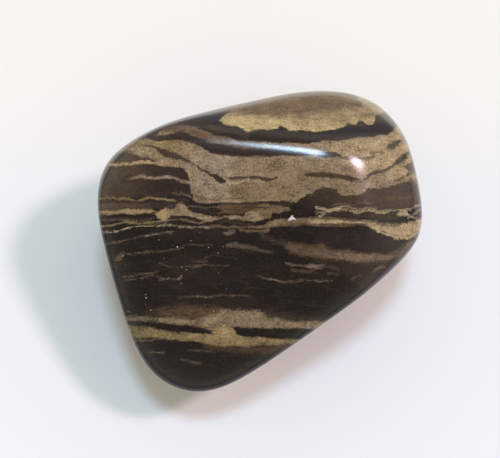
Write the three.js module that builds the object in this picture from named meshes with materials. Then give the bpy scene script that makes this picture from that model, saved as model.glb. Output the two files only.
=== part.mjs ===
// A tumbled stromatolite: one solid, polished pebble of banded fossil rock.
//
// Before tumbling it was a broken chunk of rock. Each face of that chunk is written
// here as a plane: the way it looks, how steeply, and how far it lies from the heart
// of the stone. Tumbling then wears every edge and corner round, and the power sums in
// wornRadius do the same: the higher a sharpness is, the less has been worn off there.
//
// Millimetres and degrees. +Z is up, +X runs along the fossil layers, and -Y is the low,
// narrow end of the wedge. The origin is under the middle of the stone, on the surface
// that it rests on.
import * as THREE from "three";
import { mergeVertices } from "three/addons/utils/BufferGeometryUtils.js";

// ---- Driving dimensions ---------------------------------------------------------------

// 2 would make a ball, and 30 a chunk with barely broken edges.
const RIM_SHARPNESS = 12; // where the top and the underside meet the sides, and the ridges
const CORNER_SHARPNESS = 10; // from one side to the next, as seen from above
const REST_WEAR = 0.16; // depth worn flat off the domed underside, where the stone rests
const MESH_DETAIL = 19; // how often each edge of the starting icosahedron is cut
const MERGE_DISTANCE = 1e-5; // the ball's corners closer than this are one corner
const MESH_SQUASH = 0.52; // the ball's height before it is pushed out, as a share of its width

// bearing: the compass way that the face looks, 0 along +X and 90 along +Y.
// rise: how far it looks up from level, 90 for a floor tile and -90 for a ceiling.
// reach: from the heart of the stone to the face.
const CROWN = [
  { name: "broad sloping top", bearing: 261, rise: 68, reach: 6.4 },
  { name: "back bevel", bearing: 84, rise: 48, reach: 10.5 },
  { name: "right shoulder", bearing: 335, rise: 60, reach: 10.3 },
  { name: "left back shoulder", bearing: 150, rise: 48, reach: 14.0 },
];
const GIRDLE = [
  { name: "right side", bearing: 355, rise: -4, reach: 16.0 },
  { name: "right back corner", bearing: 17, rise: 4, reach: 15.5 },
  { name: "back", bearing: 70, rise: 6, reach: 16.9 },
  { name: "long left back", bearing: 113, rise: 8, reach: 11.8 },
  { name: "left back corner", bearing: 159, rise: 0, reach: 17.0 },
  { name: "left side", bearing: 191, rise: -14, reach: 13.1 },
  { name: "left front corner", bearing: 235, rise: -22, reach: 16.6 },
  { name: "front tip", bearing: 277, rise: -28, reach: 14.5 },
  { name: "long right front", bearing: 309, rise: -22, reach: 9.6 },
];
const BELLY = [
  { name: "underside", bearing: 0, rise: -90, reach: 8.1 },
  { name: "back undercut", bearing: 100, rise: -38, reach: 12.5 },
  { name: "front undercut", bearing: 256, rise: -56, reach: 11.6 },
  { name: "left undercut", bearing: 190, rise: -46, reach: 12.2 },
  { name: "right undercut", bearing: 10, rise: -46, reach: 12.2 },
];

// ---- The worn chunk -------------------------------------------------------------------

// A face as its outward direction divided by its reach, so that a point on the face gives
// exactly 1 when it is dotted with it.
function planeOf({ bearing, rise, reach }) {
  const turn = THREE.MathUtils.degToRad(bearing);
  const tilt = THREE.MathUtils.degToRad(rise);
  return new THREE.Vector3(
    Math.cos(turn) * Math.cos(tilt),
    Math.sin(turn) * Math.cos(tilt),
    Math.sin(tilt),
  ).divideScalar(reach);
}

const sides = GIRDLE.map(planeOf);
const topAndUnderside = [...CROWN, ...BELLY].map(planeOf);

function powerSum(faces, direction, sharpness) {
  let sum = 0;
  for (const face of faces) {
    sum += Math.max(0, face.dot(direction)) ** sharpness;
  }
  return sum;
}

// How far the worn surface lies from the heart of the stone, along a unit direction. The
// sides are joined first, with their rounder corners, and then meet the other faces.
function wornRadius(direction) {
  const girdle = powerSum(sides, direction, CORNER_SHARPNESS) ** (1 / CORNER_SHARPNESS);
  const others = powerSum(topAndUnderside, direction, RIM_SHARPNESS);
  return (girdle ** RIM_SHARPNESS + others) ** (-1 / RIM_SHARPNESS);
}

function makeStoneGeometry() {
  // The ball is squashed first, which crowds its facets around the rim. The rim is the most
  // tightly curved part of the stone, and lies furthest from its heart.
  const ball = new THREE.IcosahedronGeometry(1, MESH_DETAIL).scale(1, 1, MESH_SQUASH);
  ball.deleteAttribute("normal");
  ball.deleteAttribute("uv");
  const stone = mergeVertices(ball, MERGE_DISTANCE);

  const points = stone.getAttribute("position");
  const point = new THREE.Vector3();
  for (let i = 0; i < points.count; i += 1) {
    point.fromBufferAttribute(points, i).normalize();
    point.multiplyScalar(wornRadius(point));
    points.setXYZ(i, point.x, point.y, point.z);
  }

  stone.computeBoundingBox();
  wearFlat(points, stone.boundingBox.min.z + REST_WEAR);
  standOnOrigin(stone);
  stone.computeVertexNormals();
  return stone;
}

// Brings everything below a height up to it, which leaves a small level patch.
function wearFlat(points, height) {
  for (let i = 0; i < points.count; i += 1) {
    points.setZ(i, Math.max(points.getZ(i), height));
  }
}

// Moves the stone so that the middle of its box stands over the origin, at its lowest level.
function standOnOrigin(geometry) {
  geometry.computeBoundingBox();
  const { min, max } = geometry.boundingBox;
  geometry.translate(-(min.x + max.x) / 2, -(min.y + max.y) / 2, -min.z);
}

// ---- The part -------------------------------------------------------------------------

const polishedRock = new THREE.MeshStandardMaterial({
  name: "polished_banded_rock",
  color: 0x4f4235,
  roughness: 0.22,
  metalness: 0,
});

const stone = new THREE.Mesh(makeStoneGeometry(), polishedRock);
stone.name = "stone";

const stromatolite = new THREE.Group();
stromatolite.name = "tumbled_stromatolite";
stromatolite.add(stone);

export default stromatolite;
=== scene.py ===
# %% [markdown]
# # A tumbled stromatolite
#
# The object is one polished pebble. It is a piece of fossil rock: mats of microbes trapped
# sand, layer on layer, and the layers turned to stone. Tan beds are the sand, and dark beds
# are the mud between. This lesson dresses the measured solid with a smooth skin and paints
# the beds with shader nodes, so that no picture is needed and every side is covered.

import math

import bmesh
import bpy
import numpy as np
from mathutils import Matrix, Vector, noise


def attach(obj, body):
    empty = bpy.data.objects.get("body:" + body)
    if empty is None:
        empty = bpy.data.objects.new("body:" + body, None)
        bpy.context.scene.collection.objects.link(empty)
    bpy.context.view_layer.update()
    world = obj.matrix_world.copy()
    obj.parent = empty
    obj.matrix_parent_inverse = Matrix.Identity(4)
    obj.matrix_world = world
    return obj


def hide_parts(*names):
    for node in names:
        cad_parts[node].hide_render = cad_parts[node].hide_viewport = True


MM = 0.001

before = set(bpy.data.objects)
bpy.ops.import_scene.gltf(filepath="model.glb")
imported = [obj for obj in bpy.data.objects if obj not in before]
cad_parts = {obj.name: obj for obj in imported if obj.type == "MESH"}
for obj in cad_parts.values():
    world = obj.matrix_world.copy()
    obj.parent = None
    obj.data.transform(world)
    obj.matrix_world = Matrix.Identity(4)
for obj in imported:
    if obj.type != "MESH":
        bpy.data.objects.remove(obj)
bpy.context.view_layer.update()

# %% [markdown]
# ## Small helpers for nodes
#
# The rock below takes over eight hundred nodes, and writing them one by one would hide
# the idea. These helpers add a node, feed its inputs with numbers or with other nodes, and
# return the output that the next step wants.

# %% Helpers that add nodes
def feed(tree, socket, value):
    """Gives an input a number or colour, or links another node's output to it."""
    if isinstance(value, bpy.types.NodeSocket):
        tree.links.new(value, socket)
    else:
        socket.default_value = value


def calculate(tree, operation, *values, clamp=False):
    """A Math node."""
    node = tree.nodes.new("ShaderNodeMath")
    node.operation = operation
    node.use_clamp = clamp
    for socket, value in zip(node.inputs, values):
        feed(tree, socket, value)
    return node.outputs[0]


def ramp(tree, value, low, high, to_low=0.0, to_high=1.0):
    """A Map Range node with soft ends: low becomes to_low, and high becomes to_high."""
    node = tree.nodes.new("ShaderNodeMapRange")
    node.interpolation_type = "SMOOTHSTEP"
    for socket, number in zip(node.inputs[:5], (value, low, high, to_low, to_high)):
        feed(tree, socket, number)
    return node.outputs[0]


def blend(tree, mask, under, over, how="MIX"):
    """A Mix node for colours: over covers under where the mask is 1."""
    node = tree.nodes.new("ShaderNodeMix")
    node.data_type = "RGBA"
    node.blend_type = how
    feed(tree, node.inputs[0], mask)
    feed(tree, node.inputs[6], under)
    feed(tree, node.inputs[7], over)
    return node.outputs[2]


def cloud(tree, where, scale, detail=2.0, harshness=0.5):
    """A Noise Texture. Its features are about 1 / scale across."""
    node = tree.nodes.new("ShaderNodeTexNoise")
    feed(tree, node.inputs["Vector"], where)
    node.inputs["Scale"].default_value = scale
    node.inputs["Detail"].default_value = detail
    node.inputs["Roughness"].default_value = harshness
    return node


def scaled(tree, where, factors, shift=(0, 0, 0)):
    """Stretches a coordinate: a small factor makes long features."""
    node = tree.nodes.new("ShaderNodeMapping")
    feed(tree, node.inputs["Vector"], where)
    node.inputs["Scale"].default_value = factors
    node.inputs["Location"].default_value = shift
    return node.outputs[0]


def new_group(name, inputs, outputs):
    """An empty shader node group with named sockets, and its two end nodes."""
    tree = bpy.data.node_groups.new(name, "ShaderNodeTree")
    for label, kind in inputs:
        tree.interface.new_socket(name=label, in_out="INPUT", socket_type=kind)
    for label, kind in outputs:
        tree.interface.new_socket(name=label, in_out="OUTPUT", socket_type=kind)
    return tree, tree.nodes.new("NodeGroupInput"), tree.nodes.new("NodeGroupOutput")


def place_group(tree, group, **values):
    """Puts a group into a material and feeds its named inputs."""
    node = tree.nodes.new("ShaderNodeGroup")
    node.node_tree = group
    for label, value in values.items():
        feed(tree, node.inputs[label.replace("_", " ")], value)
    return node


FLOAT = "NodeSocketFloat"
VECTOR = "NodeSocketVector"
print("helpers ready")

# %% [markdown]
# ## The view
#
# A pebble this small is looked at from close by and well above, with a long lens so that
# its near and far ends keep their true proportions. The camera is aimed at the middle of
# the stone, twenty degrees off straight down.

# %% Place the camera
VIEW_HEART = Vector((-0.99, 0.47, 7.94)) * MM
VIEW_DISTANCE = 153 * MM
VIEW_ELEVATION = math.radians(70)
VIEW_LENS = 120  # mm, on a film 36 mm wide
FILM_WIDTH = 36

view_from = Vector((0, -math.cos(VIEW_ELEVATION), math.sin(VIEW_ELEVATION)))
camera_data = bpy.data.cameras.new("view")
camera_data.lens = VIEW_LENS
camera_data.sensor_width = FILM_WIDTH
camera_data.clip_start = 10 * MM
camera = bpy.data.objects.new("view", camera_data)
camera.location = VIEW_HEART + view_from * VIEW_DISTANCE
camera.rotation_euler = view_from.to_track_quat("Z", "Y").to_euler()
bpy.context.scene.collection.objects.link(camera)
bpy.context.scene.camera = camera
bpy.context.scene.view_settings.view_transform = "Standard"
print("camera at", [round(v / MM, 1) for v in camera.location], "mm")

# %% [markdown]
# ## A white card on a table
#
# The stone lies on a sheet of white card, and the card on a large grey table. One endless
# white floor would be simpler, but a polished stone mirrors what lies around it. So the
# card reaches far to the front and sides, where it brightens the rims, and ends just
# behind the stone, whose back slope would otherwise look milky all over. The far end of
# the card is painted a slightly warm tint, as painted light from the room, which a Map
# Range node fades in.

# %% Make the card and the table
CARD_HALF = 90 * MM
CARD_BACK = 30 * MM
CARD_NEAR = (0.82, 0.84, 0.82, 1)
CARD_FAR_WARM_LIGHT = (0.84, 0.85, 0.76, 1)
TINT_STARTS = 2 * MM
TINT_ENDS = 20 * MM
TABLE_HALF = 1.5
TABLE_DROP = 1 * MM
TABLE_GREY = (0.25, 0.25, 0.26, 1)
SHEET_ROUGHNESS = 0.9
SHEET_GLOSS = 0.1


def make_sheet(name, half, back, level):
    """A flat, dull sheet: half its width to each side and the front, and back behind.

    Returns it with its node tree and the colour socket.
    """
    mesh = bpy.data.meshes.new(name)
    edge = ((-half, -half), (half, -half), (half, back), (-half, back))
    mesh.from_pydata([(x, y, level) for x, y in edge], [], [(0, 1, 2, 3)])
    sheet = bpy.data.objects.new(name, mesh)
    bpy.context.scene.collection.objects.link(sheet)
    paint = bpy.data.materials.new(name)
    paint.use_nodes = True
    shader = paint.node_tree.nodes["Principled BSDF"]
    shader.inputs["Roughness"].default_value = SHEET_ROUGHNESS
    shader.inputs["Specular IOR Level"].default_value = SHEET_GLOSS
    mesh.materials.append(paint)
    return sheet, paint.node_tree, shader.inputs["Base Color"]


table, table_paint, table_colour = make_sheet("grey_table", TABLE_HALF, TABLE_HALF, -TABLE_DROP)
feed(table_paint, table_colour, TABLE_GREY)

card, card_paint, card_colour = make_sheet("white_card", CARD_HALF, CARD_BACK, 0)
card_axes = card_paint.nodes.new("ShaderNodeSeparateXYZ")
card_place = card_paint.nodes.new("ShaderNodeTexCoord").outputs["Object"]
feed(card_paint, card_axes.inputs[0], card_place)
# Painted light: the card's colour turns warmer towards its far end, for the room's warm light.
card_warm_light_mask = ramp(card_paint, card_axes.outputs[1], TINT_STARTS, TINT_ENDS)
feed(card_paint, card_colour, blend(card_paint, card_warm_light_mask, CARD_NEAR, CARD_FAR_WARM_LIGHT))
print("card:", card.dimensions.x, "m wide, table:", table.dimensions.x, "m wide")

# %% [markdown]
# ## Two soft lamps and a bright room
#
# A polished stone shows its lamps as small bright patches, so their size and place matter
# as much as their strength. A cool lamp hangs straight above and lights the ridge. A warm
# one stands to the right and throws the long shadow to the left. Sun lamps with a wide
# angle do this well: their shadows soften with distance, and they light evenly. The room
# is a colour ramp over the height that a ray comes from: floor, walls and a dim ceiling.

# %% Hang the lamps
def hang_lamp(name, toward, tint, strength, spread):
    """A far, soft lamp. toward points from the stone to the lamp; spread is in degrees."""
    lamp_data = bpy.data.lights.new(name, "SUN")
    lamp_data.color = tint
    lamp_data.energy = strength
    lamp_data.angle = math.radians(spread)
    lamp = bpy.data.objects.new(name, lamp_data)
    lamp.rotation_euler = Vector(toward).to_track_quat("Z", "Y").to_euler()
    bpy.context.scene.collection.objects.link(lamp)


hang_lamp(
    "cool_overhead", toward=(0.05, 0.09, 0.99), tint=(0.53, 0.75, 1.0), strength=1.37, spread=11
)
hang_lamp(
    "warm_side", toward=(0.588, 0.06, 0.809), tint=(1.0, 0.76, 0.88), strength=1.33, spread=8
)

# %% Light the room
ROOM_FLOOR = (0.56, 0.55, 0.55, 1)
ROOM_WALLS = (0.90, 0.85, 0.71, 1)
ROOM_CEILING = (0.32, 0.27, 0.23, 1)
WALLS_AT = 0.45  # heights as the upward part of the ray's direction
CEILING_AT = 0.9

room = bpy.data.worlds.new("room")
room.use_nodes = True
walls = room.node_tree
outlook = walls.nodes.new("ShaderNodeSeparateXYZ")
feed(walls, outlook.inputs[0], walls.nodes.new("ShaderNodeTexCoord").outputs["Generated"])
height = walls.nodes.new("ShaderNodeValToRGB")
feed(walls, height.inputs[0], outlook.outputs[2])
stops = height.color_ramp.elements
stops[0].position = 0.0
stops[0].color = ROOM_FLOOR
stops[1].position = CEILING_AT
stops[1].color = ROOM_CEILING
stops.new(WALLS_AT).color = ROOM_WALLS
feed(walls, walls.nodes["Background"].inputs["Color"], height.outputs[0])
bpy.context.scene.world = room
print("room lit:", len(stops), "stops")

# %% [markdown]
# ## The worn skin
#
# Weeks in a tumbling drum leave no flat facet, while the solid has eight thousand, and a
# polished stone would show every one. Smoothing a copy of it would round them, but leaves
# ripples in the highlights. So the skin is worn anew here, from the same faces of the
# broken chunk and by the same sum, with ten times as many points.

# %% Wear a fine ball down to the faces of the chunk
HEART = Vector((-0.0919, 0.4718, 7.9394))  # mm, the middle that the faces are measured from
RIM_SHARPNESS = 12
CORNER_SHARPNESS = 10
SQUASH = 0.52  # crowds the points around the rim, where the skin is most tightly curved
SKIN_CUTS = 7  # how often each face of the starting ball is cut in four

# Each face: the compass way that it looks, how far it looks up, and how far off it lies.
SIDES = (
    (355, -4, 16.0), (17, 4, 15.5), (70, 6, 16.9), (113, 8, 11.8), (159, 0, 17.0),
    (191, -14, 13.1), (235, -22, 16.6), (277, -28, 14.5), (309, -22, 9.6),
)
TOP_AND_UNDERSIDE = (
    (261, 68, 6.4), (84, 48, 10.5), (335, 60, 10.3), (150, 48, 14.0),
    (0, -90, 8.1), (100, -38, 12.5), (256, -56, 11.6), (190, -46, 12.2), (10, -46, 12.2),
)


def power_sum(faces, directions, sharpness):
    """Adds up how near each direction comes to each face, the nearest counting most."""
    turn, tilt, reach = np.array(faces).T
    turn, tilt = np.radians(turn), np.radians(tilt)
    planes = np.array([np.cos(turn) * np.cos(tilt), np.sin(turn) * np.cos(tilt), np.sin(tilt)])
    return (np.maximum(0, directions @ (planes / reach)) ** sharpness).sum(axis=1)


ball = bmesh.new()
bmesh.ops.create_icosphere(ball, subdivisions=SKIN_CUTS, radius=1)
skin_mesh = bpy.data.meshes.new("stone_skin")
ball.to_mesh(skin_mesh)
ball.free()
skin = bpy.data.objects.new("stone_skin", skin_mesh)
bpy.context.scene.collection.objects.link(skin)

places = np.empty(len(skin_mesh.vertices) * 3)
skin_mesh.vertices.foreach_get("co", places)
directions = places.reshape(-1, 3) * (1, 1, SQUASH)
directions /= np.linalg.norm(directions, axis=1)[:, None]
girdle = power_sum(SIDES, directions, CORNER_SHARPNESS) ** (RIM_SHARPNESS / CORNER_SHARPNESS)
rest = power_sum(TOP_AND_UNDERSIDE, directions, RIM_SHARPNESS)
radius = (girdle + rest) ** (-1 / RIM_SHARPNESS)
places = np.array(HEART) + directions * radius[:, None]
places[:, 2] = np.maximum(places[:, 2], 0)
skin_mesh.vertices.foreach_set("co", (places * MM).ravel())
skin_mesh.polygons.foreach_set("use_smooth", [True] * len(skin_mesh.polygons))
skin_mesh.update()
print("skin:", len(skin_mesh.vertices), "points,", len(skin_mesh.polygons), "faces")

# %% [markdown]
# ## Soft dents
#
# A real stone isn't perfectly even, so the skin then sinks by a few hundredths of a
# millimetre, in broad soft dents that bend its reflections.

# %% Sink the dents
DENT_WIDTH = 4.5  # mm across
DENT_DEPTH = 0.05  # mm, about as deep as they get
MEAN_SINK = 0.6  # of that depth, over the whole stone
SINK_SWING = 0.5  # of that depth, more or less from place to place
RESTING_HEIGHT = 0.3  # mm, no dents below this, so that it still stands flat
FULL_HEIGHT = 1.3  # mm, the dents have their full depth above this


def dent_depth(place):
    """How far the skin sinks at a place, in mm."""
    broad = noise.noise(place / DENT_WIDTH, noise_basis="PERLIN_ORIGINAL")
    lift = (place.z - RESTING_HEIGHT) / (FULL_HEIGHT - RESTING_HEIGHT)
    lift = min(1.0, max(0.0, lift))
    return DENT_DEPTH * lift * (MEAN_SINK + SINK_SWING * broad)


outward = np.empty(len(skin_mesh.vertices) * 3)
skin_mesh.vertex_normals.foreach_get("vector", outward)
sunk = np.array([dent_depth(Vector(place)) for place in places])
places = places - outward.reshape(-1, 3) * sunk[:, None]
skin_mesh.vertices.foreach_set("co", (places * MM).ravel())
skin_mesh.update()
print("dents:", round(sunk.max(), 3), "mm at the deepest")

# %% [markdown]
# ## Where a point lies in the beds
#
# Before it was a pebble, the rock was a pile of nearly flat layers. Two measures describe
# a point in it: how far it is along the beds, and how far across them. The pile leans back
# twenty degrees here, so a Mapping node turns the stone's own coordinates upright and into
# millimetres. Real beds are ragged, so noise shifts each point a little first. Deep in the
# stone the beds also dip and wander, which gives its back and underside their own pattern.

# %% Work out the two measures
BED_LEAN = math.radians(20)
BED_START = Vector((0.163, 0.0, 0.0))  # mm, moves where the beds are measured from
BED_MIDDLE = 3.154  # mm, the height across the beds at the heart of the stone
RAGGED = 0.42  # mm, how far the small shakes go
WANDER = 7.0  # mm, how far the slow one goes, deep in the stone
DIP = 3.6  # mm, how far the beds sink there
DEEP_BELOW = 6.5 * MM  # height above the ground at which the dip sets in
RAGGED_DETAIL = 0.65  # how harsh the finest shakes are

rock_material = bpy.data.materials.new("polished_banded_rock")
rock_material.use_nodes = True
rock = rock_material.node_tree
rock_shader = rock.nodes["Principled BSDF"]

own = rock.nodes.new("ShaderNodeTexCoord").outputs["Object"]
upright = rock.nodes.new("ShaderNodeMapping")
feed(rock, upright.inputs["Vector"], own)
upright.inputs["Location"].default_value = BED_START
upright.inputs["Rotation"].default_value = (-BED_LEAN, 0, 0)
upright.inputs["Scale"].default_value = (1 / MM, 1 / MM, 1 / MM)
place_mm = upright.outputs[0]
own_axes = rock.nodes.new("ShaderNodeSeparateXYZ")
feed(rock, own_axes.inputs[0], own)
depth = ramp(rock, own_axes.outputs[2], DEEP_BELOW, 0.0)
drawn_out = scaled(rock, place_mm, (0.5, 1.0, 0.5))


def shake(scale, detail, amount):
    """A random shift vector with features 1 / scale mm thick, and twice as long."""
    source = cloud(rock, drawn_out, scale, detail, RAGGED_DETAIL).outputs["Color"]
    centred = rock.nodes.new("ShaderNodeVectorMath")
    centred.operation = "SUBTRACT"
    feed(rock, centred.inputs[0], source)
    centred.inputs[1].default_value = (0.5, 0.5, 0.5)
    scaled_shift = rock.nodes.new("ShaderNodeVectorMath")
    scaled_shift.operation = "SCALE"
    feed(rock, scaled_shift.inputs[0], centred.outputs[0])
    feed(rock, scaled_shift.inputs["Scale"], amount)
    return scaled_shift.outputs[0]


def add_vectors(first, second):
    """A Vector Math node that adds."""
    node = rock.nodes.new("ShaderNodeVectorMath")
    node.operation = "ADD"
    feed(rock, node.inputs[0], first)
    feed(rock, node.inputs[1], second)
    return node.outputs[0]


shaken = add_vectors(place_mm, shake(3.6, 3.0, RAGGED))
shaken = add_vectors(shaken, shake(0.8, 1.0, RAGGED))
shaken = add_vectors(shaken, shake(0.13, 1.0, calculate(rock, "MULTIPLY", depth, WANDER)))
shaken_axes = rock.nodes.new("ShaderNodeSeparateXYZ")
feed(rock, shaken_axes.inputs[0], shaken)
along = shaken_axes.outputs[0]
across = calculate(rock, "SUBTRACT", shaken_axes.outputs[1], BED_MIDDLE)
across = calculate(rock, "MULTIPLY_ADD", depth, DIP, across)
print("bedding measures:", len(rock.nodes), "nodes")

# %% [markdown]
# ## One bed
#
# A bed is a strip between an upper and a lower edge, and both wander as they run along the
# stone. A Vector Curves node holds three such lines at once: the upper edge, the lower
# edge, and how strongly the bed shows. The group below turns them into a mask that is 1
# inside the strip and fades over its softness at the edges.
#
# Each bed also drags the ones laid after it along by a hair. That ties the beds into one
# chain, so the renderer works them out one by one, and never has to hold them all at once.

# %% Group: bed mask
BED_DRAG = 0.01  # mm
FRAY = 0.13  # mm, how far the grains at a sharp edge stray over it
SOFT_FRAY = 8.0  # and how much further they stray where the edge is soft
bed_mask, ins, outs = new_group(
    "bed_mask",
    [
        ("Edges", VECTOR), ("Along", FLOAT), ("Across", FLOAT), ("Softness", FLOAT),
        ("Fray", FLOAT), ("Gaps", FLOAT),
    ],
    [("Mask", FLOAT), ("Along", FLOAT)],
)
edges = bed_mask.nodes.new("ShaderNodeSeparateXYZ")
feed(bed_mask, edges.inputs[0], ins.outputs["Edges"])
below_top = calculate(bed_mask, "SUBTRACT", edges.outputs[0], ins.outputs["Across"])
above_base = calculate(bed_mask, "SUBTRACT", ins.outputs["Across"], edges.outputs[1])
inside = calculate(bed_mask, "MINIMUM", below_top, above_base)
inside = calculate(bed_mask, "ADD", inside, ins.outputs["Fray"])
inside = calculate(bed_mask, "DIVIDE", inside, ins.outputs["Softness"])
inside = calculate(bed_mask, "ADD", inside, 0.5, clamp=True)
shown = calculate(bed_mask, "MULTIPLY", inside, edges.outputs[2])
shown = calculate(bed_mask, "MULTIPLY", shown, ins.outputs["Gaps"])
feed(bed_mask, outs.inputs["Mask"], shown)
dragged = calculate(bed_mask, "MULTIPLY_ADD", shown, BED_DRAG, ins.outputs["Along"])
feed(bed_mask, outs.inputs["Along"], dragged)
print("group bed_mask:", len(bed_mask.nodes), "nodes")

# %% [markdown]
# ## Sand grain
#
# Seen close, the tan beds are sand grains a tenth or two of a millimetre across, each with
# a tone of its own, and they lie in faint threads along the bed. A Voronoi texture is such
# a heap of grains: every cell gets its own random colour. Noise adds the threads, and the
# patches where more mud was left between the grains.

# %% Group: sand grain
GRAINS_PER_MM = 8.5
SHADE_START = -1.25  # so that a usual grain comes out near 1
DARKEST_GRAIN = 0.15

sand_grain, ins, outs = new_group(
    "sand_grain", [("Place", VECTOR)], [("Shade", FLOAT), ("Tint", FLOAT), ("Relief", FLOAT)]
)
heap = sand_grain.nodes.new("ShaderNodeTexVoronoi")
feed(sand_grain, heap.inputs["Vector"], ins.outputs["Place"])
heap.inputs["Scale"].default_value = GRAINS_PER_MM
each = sand_grain.nodes.new("ShaderNodeSeparateColor")
feed(sand_grain, each.inputs[0], heap.outputs["Color"])
clumps = cloud(sand_grain, ins.outputs["Place"], 7.5, 2.0, 0.7).outputs[0]
threads_at = scaled(sand_grain, ins.outputs["Place"], (0.9, 5.0, 0.9))
threads = cloud(sand_grain, threads_at, 1.0, 2.0, 0.6).outputs[0]
patches = cloud(sand_grain, ins.outputs["Place"], 0.9, 1.0, 0.5).outputs[0]
shade = SHADE_START
for source, weight in ((each.outputs[0], 0.6), (clumps, 2.0), (threads, 0.7), (patches, 1.2)):
    shade = calculate(sand_grain, "MULTIPLY_ADD", source, weight, shade)
feed(sand_grain, outs.inputs["Shade"], calculate(sand_grain, "MAXIMUM", shade, DARKEST_GRAIN))
tint = calculate(sand_grain, "MULTIPLY_ADD", each.outputs[1], 0.6, patches)
feed(sand_grain, outs.inputs["Tint"], calculate(sand_grain, "SUBTRACT", tint, 0.3))
feed(sand_grain, outs.inputs["Relief"], clumps)
print("group sand_grain:", len(sand_grain.nodes), "nodes")

# %% [markdown]
# ## The tones of the rock
#
# The same few minerals colour the whole stone: quartz sand stained by a little iron, and
# mud dark with carbon. So a small set of tones, each with a name, does for all the beds.
# They are linear values, as shaders want them.

# %% Name the tones
MUD_BLACK = (0.0045, 0.0022, 0.0018, 1)
MUD_DEEP = (0.017, 0.0100, 0.0085, 1)
MUD_BROWN = (0.030, 0.0185, 0.0140, 1)
MUD_OLIVE = (0.066, 0.048, 0.029, 1)
MUD_RED = (0.059, 0.038, 0.027, 1)
MUD_TAN = (0.100, 0.065, 0.032, 1)
SAND_GREY = (0.185, 0.140, 0.100, 1)
SAND_BROWN = (0.112, 0.080, 0.050, 1)
SAND_TAN = (0.225, 0.170, 0.100, 1)
SAND_ASH = (0.250, 0.203, 0.138, 1)
SAND_OCHRE = (0.235, 0.178, 0.080, 1)
SAND_PALE = (0.350, 0.275, 0.150, 1)
SAND_GOLD = (0.330, 0.250, 0.120, 1)
# The two cap tones are the sand's colour plus painted reflection: a pale sheen on the back slope.
CAP_SAND_AND_SHEEN = (0.460, 0.368, 0.168, 1)
CAP_BROWN_AND_SHEEN = (0.155, 0.101, 0.042, 1)
SAND_AMBER = (0.190, 0.138, 0.074, 1)
CREAM = (0.420, 0.350, 0.230, 1)
CHALK = (0.780, 0.760, 0.700, 1)
print("tones named, from", MUD_BLACK[:3], "to", CHALK[:3])

# %% [markdown]
# ## Laying the beds
#
# The beds are painted from the largest to the smallest, each over what is there already,
# as a painter would. A bed is written as the points that its edges run through, in
# millimetres along and across. A thread is thin, so its middle line and half its thickness
# are enough. Where a bed thins out inside the stone, its edges cross a little past its end,
# and where it fades away along its length, its strength is a line of its own. Holes, from
# noise drawn out along the beds, break the beds that are called broken.

# %% Helpers that lay a bed
BED_REACH = 16  # mm along, just past either end of the stone
PINCH_LENGTH = 0.25  # mm from the end of a bed to where its edges have crossed
PINCH_CROSS = 0.3  # mm by which each edge goes over the end point
HOLE_OPEN = 0.38  # the noise makes a full hole at this value and below
HOLE_CLOSED = 0.56  # and leaves the bed whole at this value and above

streaks_at = scaled(rock, place_mm, (1.1, 6.0, 1.1))
streaks = cloud(rock, streaks_at, 1.0, 3.0, 0.6).outputs[0]
specks = cloud(rock, place_mm, 9.0, 2.0, 0.7).outputs[0]
fray = calculate(rock, "MULTIPLY_ADD", specks, 1.4, streaks)
fray = calculate(rock, "SUBTRACT", fray, 1.2)
holes_at = scaled(rock, place_mm, (2.2, 5.5, 2.2), (3, 1, 7))
holes = cloud(rock, holes_at, 1.0, 3.0, 0.7).outputs[0]


def draw_line(curve, points):
    """Runs one line of a curves node through some points."""
    curve.points[0].location = points[0]
    curve.points[1].location = points[-1]
    for x, y in points[1:-1]:
        curve.points.new(x, y)
    for point in curve.points:
        point.handle_type = "AUTO_CLAMPED"


def pinched(points, beyond, closed):
    """Adds a point past each closed end, off the edge by beyond."""
    points = list(points)
    if closed in ("both", "left"):
        points.insert(0, (points[0][0] - PINCH_LENGTH, points[0][1] + beyond))
    if closed in ("both", "right"):
        points.append((points[-1][0] + PINCH_LENGTH, points[-1][1] + beyond))
    return points


class Pile:
    """The beds laid so far: their colour, and the place along them that the next one uses."""

    def __init__(self, colour):
        self.colour = colour
        self.along = along
        self.count = 0

    def bed(self, tone, upper, lower, closed="both", strength=1.0, softness=0.12, broken=0.0):
        """Paints one bed over what is there. closed says at which ends it thins out.

        strength is a number, or (along, strength) points for a bed that fades.
        """
        if isinstance(strength, (int, float)):
            strength = [(-BED_REACH, strength), (BED_REACH, strength)]
        lines = rock.nodes.new("ShaderNodeVectorCurve")
        lines.mapping.use_clip = False
        for curve in lines.mapping.curves:
            while len(curve.points) > 2:
                curve.points.remove(curve.points[1])
        draw_line(lines.mapping.curves[0], pinched(upper, -PINCH_CROSS, closed))
        draw_line(lines.mapping.curves[1], pinched(lower, PINCH_CROSS, closed))
        draw_line(lines.mapping.curves[2], strength)
        lines.mapping.update()
        feed(rock, lines.inputs["Vector"], self.along)
        mask = place_group(
            rock, bed_mask, Edges=lines.outputs[0], Along=self.along, Across=across,
            Softness=softness,
            Fray=calculate(rock, "MULTIPLY", fray, FRAY * (1 + SOFT_FRAY * softness)),
            Gaps=ramp(rock, holes, HOLE_OPEN, HOLE_CLOSED, 1 - broken, 1.0),
        )
        self.along = mask.outputs["Along"]
        self.colour = blend(rock, mask.outputs["Mask"], self.colour, tone)
        self.count += 1

    def thread(
        self, tone, points, half, closed="both", strength=0.9, softness=0.12, broken=0.0
    ):
        """A thin bed through (along, across) points, each with its own half if it varies."""
        halves = [p[2] if len(p) > 2 else half for p in points]
        upper = [(p[0], p[1] + h) for p, h in zip(points, halves)]
        lower = [(p[0], p[1] - h) for p, h in zip(points, halves)]
        self.bed(tone, upper, lower, closed, strength, softness, broken)


print("ready to lay beds")

# %% [markdown]
# ## The mud ground
#
# Under everything lies the mud: near black in the lower half, more olive at the left and
# redder at the right. Slow noise lets one drift into the other, so no edge shows.

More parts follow.
